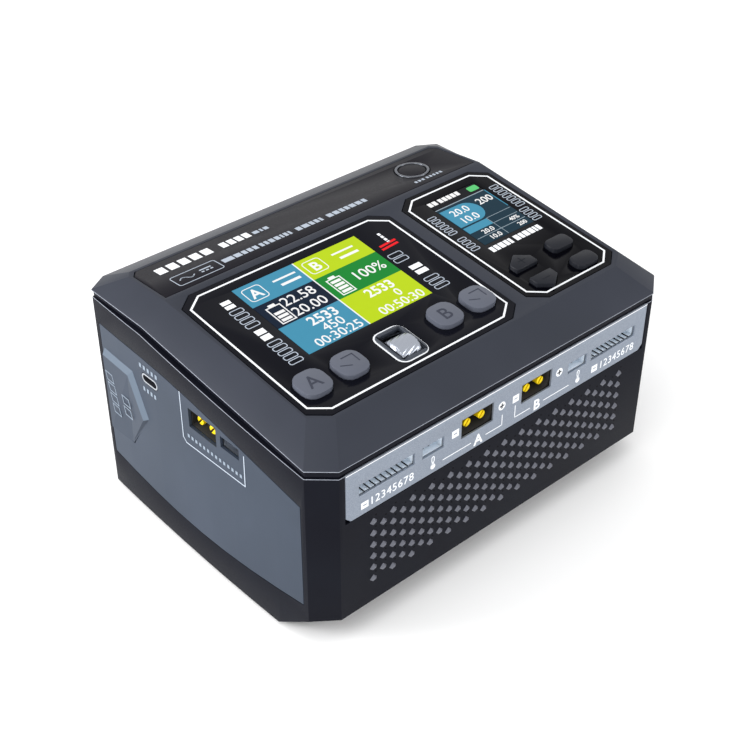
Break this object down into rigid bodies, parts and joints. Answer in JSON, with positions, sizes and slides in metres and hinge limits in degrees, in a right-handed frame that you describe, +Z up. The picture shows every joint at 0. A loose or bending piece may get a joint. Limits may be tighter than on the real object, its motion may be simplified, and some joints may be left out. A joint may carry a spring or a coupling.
{
  "type": "balance battery charger",
  "caption": "Bench charger for model batteries: a cornered case with a sloping control face, colour displays, keys and scroll roller, battery sockets on the front, fans and inlets behind.",
  "frame": {"origin": "centre of the bounding box in plan, at the plane of the soles of the feet", "axes": "+Z up; -Y out of the front face with the battery sockets; +X to the right seen from the front"},
  "size_m": [0.1828, 0.1362, 0.1024],
  "materials": {
    "case_black_abs": "satin",
    "cover_grey_abs": "satin",
    "side_blue_grey_abs": "satin",
    "panel_gloss_black": "gloss",
    "port_black_nylon": "satin",
    "contact_gold": "polished",
    "bright_steel": "satin",
    "board_green": "satin",
    "deck_dark_foil": "satin",
    "power_button_dark": "satin",
    "lens_clear": "gloss",
    "display_module": "satin",
    "key_grey_abs": "satin",
    "key_dark_abs": "satin",
    "wheel_bezel_grey": "satin",
    "wheel_silver": "metallised satin",
    "header_grey_nylon": "satin",
    "strip_silver": "satin",
    "heatsink_aluminium": "satin",
    "ferrite_core": "matte",
    "capacitor_sleeve": "gloss",
    "choke_copper": "satin",
    "foot_rubber": "matte",
    "fan_rotor_black": "satin"
  },
  "bodies": {
    "charger": {"lower_case": "case_black_abs", "foot_1": "foot_rubber", "foot_2": "foot_rubber", "foot_3": "foot_rubber", "foot_4": "foot_rubber", "case_screw_1": "bright_steel", "case_screw_2": "bright_steel", "case_screw_3": "bright_steel", "case_screw_4": "bright_steel", "top_cover": "cover_grey_abs", "deck_plate": "deck_dark_foil", "power_switch_body": "bright_steel", "side_panel_left": "side_blue_grey_abs", "side_panel_right": "side_blue_grey_abs", "port_strip": "strip_silver", "main_panel": "panel_gloss_black", "supply_panel": "panel_gloss_black", "main_display_lens": "lens_clear", "main_display_module": "display_module", "supply_display_lens": "lens_clear", "supply_display_module": "display_module", "wheel_bezel": "wheel_bezel_grey", "wheel_cradle": "port_black_nylon", "control_board": "board_green", "battery_a_socket": "port_black_nylon", "battery_a_socket_plus_pin": "contact_gold", "battery_a_socket_minus_pin": "contact_gold", "battery_b_socket": "port_black_nylon", "battery_b_socket_plus_pin": "contact_gold", "battery_b_socket_minus_pin": "contact_gold", "balance_a_header": "header_grey_nylon", "balance_b_header": "header_grey_nylon", "probe_a_socket": "header_grey_nylon", "probe_b_socket": "header_grey_nylon", "discharge_socket": "port_black_nylon", "discharge_socket_plus_pin": "contact_gold", "discharge_socket_minus_pin": "contact_gold", "discharge_signal_socket": "header_grey_nylon", "usb_socket": "bright_steel", "mains_inlet": "port_black_nylon", "dc_inlet": "port_black_nylon", "fan_left_frame": "port_black_nylon", "fan_right_frame": "port_black_nylon", "power_board": "board_green", "heatsink": "heatsink_aluminium", "transformer": "ferrite_core", "bulk_capacitor": "capacitor_sleeve", "output_choke": "choke_copper"},
    "channel_a_key": {"channel_a_key": "key_grey_abs"},
    "enter_a_key": {"enter_a_key": "key_grey_abs"},
    "channel_b_key": {"channel_b_key": "key_grey_abs"},
    "enter_b_key": {"enter_b_key": "key_grey_abs"},
    "output_key": {"output_key": "key_dark_abs"},
    "setup_key": {"setup_key": "key_dark_abs"},
    "up_key": {"up_key": "key_dark_abs"},
    "down_key": {"down_key": "key_dark_abs"},
    "scroll_wheel": {"scroll_wheel": "wheel_silver"},
    "power_button": {"power_button": "power_button_dark"},
    "fan_left": {"fan_left_rotor": "fan_rotor_black"},
    "fan_right": {"fan_right_rotor": "fan_rotor_black"}
  },
  "joints": [
    {"name": "channel_a_key_press", "type": "slide", "parent": "charger", "child": "channel_a_key", "axis": [0, 0.1084, -0.9941], "range_m": [0, 0.0005], "stiffness_N_per_m": 600, "springref_m": -0.002},
    {"name": "enter_a_key_press", "type": "slide", "parent": "charger", "child": "enter_a_key", "axis": [0, 0.1084, -0.9941], "range_m": [0, 0.0005], "stiffness_N_per_m": 600, "springref_m": -0.002},
    {"name": "channel_b_key_press", "type": "slide", "parent": "charger", "child": "channel_b_key", "axis": [0, 0.1084, -0.9941], "range_m": [0, 0.0005], "stiffness_N_per_m": 600, "springref_m": -0.002},
    {"name": "enter_b_key_press", "type": "slide", "parent": "charger", "child": "enter_b_key", "axis": [0, 0.1084, -0.9941], "range_m": [0, 0.0005], "stiffness_N_per_m": 600, "springref_m": -0.002},
    {"name": "output_key_press", "type": "slide", "parent": "charger", "child": "output_key", "axis": [0, 0.1084, -0.9941], "range_m": [0, 0.0005], "stiffness_N_per_m": 600, "springref_m": -0.002},
    {"name": "setup_key_press", "type": "slide", "parent": "charger", "child": "setup_key", "axis": [0, 0.1084, -0.9941], "range_m": [0, 0.0005], "stiffness_N_per_m": 600, "springref_m": -0.002},
    {"name": "up_key_press", "type": "slide", "parent": "charger", "child": "up_key", "axis": [0, 0.1084, -0.9941], "range_m": [0, 0.0005], "stiffness_N_per_m": 600, "springref_m": -0.002},
    {"name": "down_key_press", "type": "slide", "parent": "charger", "child": "down_key", "axis": [0, 0.1084, -0.9941], "range_m": [0, 0.0005], "stiffness_N_per_m": 600, "springref_m": -0.002},
    {"name": "power_button_press", "type": "slide", "parent": "charger", "child": "power_button", "axis": [0, -0.0725, -0.9974], "range_m": [0, 0.0015], "stiffness_N_per_m": 400, "springref_m": -0.004},
    {"name": "scroll_wheel_turn", "type": "hinge", "parent": "charger", "child": "scroll_wheel", "pos_m": [-0.0277, -0.04107, 0.09081], "axis": [1, 0, 0], "continuous": true},
    {"name": "fan_left_spin", "type": "hinge", "parent": "charger", "child": "fan_left", "pos_m": [-0.048, 0.0553, 0.0472], "axis": [0, 1, 0], "continuous": true},
    {"name": "fan_right_spin", "type": "hinge", "parent": "charger", "child": "fan_right", "pos_m": [0.008, 0.0553, 0.0472], "axis": [0, 1, 0], "continuous": true}
  ]
}
